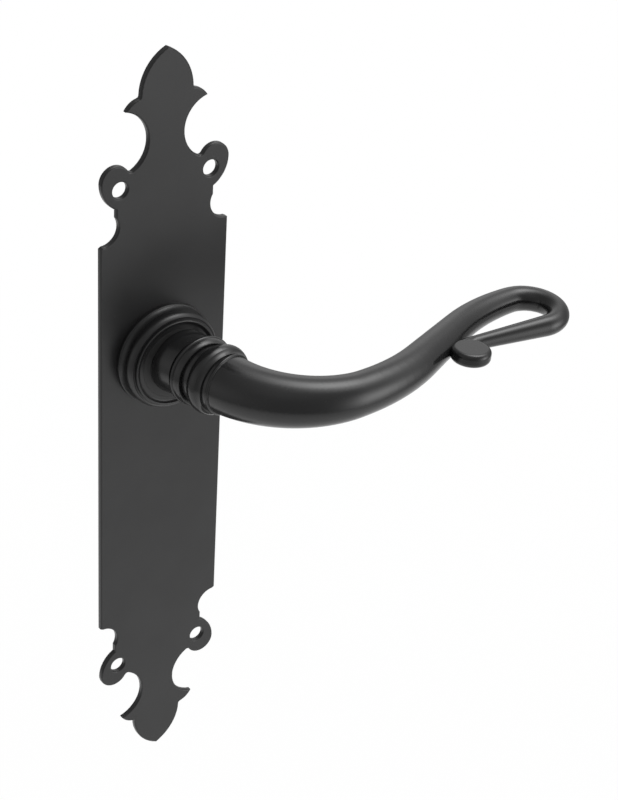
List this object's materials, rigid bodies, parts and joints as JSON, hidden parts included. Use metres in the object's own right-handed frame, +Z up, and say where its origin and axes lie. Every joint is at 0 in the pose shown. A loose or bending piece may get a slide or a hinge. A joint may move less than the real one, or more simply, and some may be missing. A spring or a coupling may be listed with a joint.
{
  "type": "door lever handle",
  "caption": "Sprung door lever with a sweeping looped grip on a long scroll-edged backplate, driven by a square spindle.",
  "frame": {"origin": "spindle axis at the face of the door, which is the back face of the plate", "axes": "+Z up the door along the plate, +X along the grip from the spindle, -Y out of the door towards the hand"},
  "size_m": [0.1523, 0.0617, 0.2576],
  "materials": {
    "black_coat": "satin black powder coat on steel",
    "black_coat_lever": "satin black powder coat on cast steel",
    "zinc_steel": "zinc plated",
    "spring_steel": "oiled spring steel",
    "black_nylon": "moulded nylon"
  },
  "bodies": {
    "plate": {"backplate": "black_coat", "rose": "black_coat", "rose_screw_1": "zinc_steel", "rose_screw_2": "zinc_steel", "rose_screw_3": "zinc_steel", "bearing_bush": "black_nylon", "return_spring": "spring_steel"},
    "lever": {"lever": "black_coat_lever", "neck_ferrule": "black_coat_lever", "thrust_washer": "black_nylon", "drive_plate": "zinc_steel", "circlip": "spring_steel"}
  },
  "joints": [
    {"name": "lever_turn", "type": "hinge", "parent": "plate", "child": "lever", "pos_m": [0, 0, 0], "axis": [0, 1, 0], "range_deg": [0, 45], "stiffness_Nm_per_rad": 0.189, "springref_deg": -89.95, "deforming": ["return_spring"]}
  ]
}
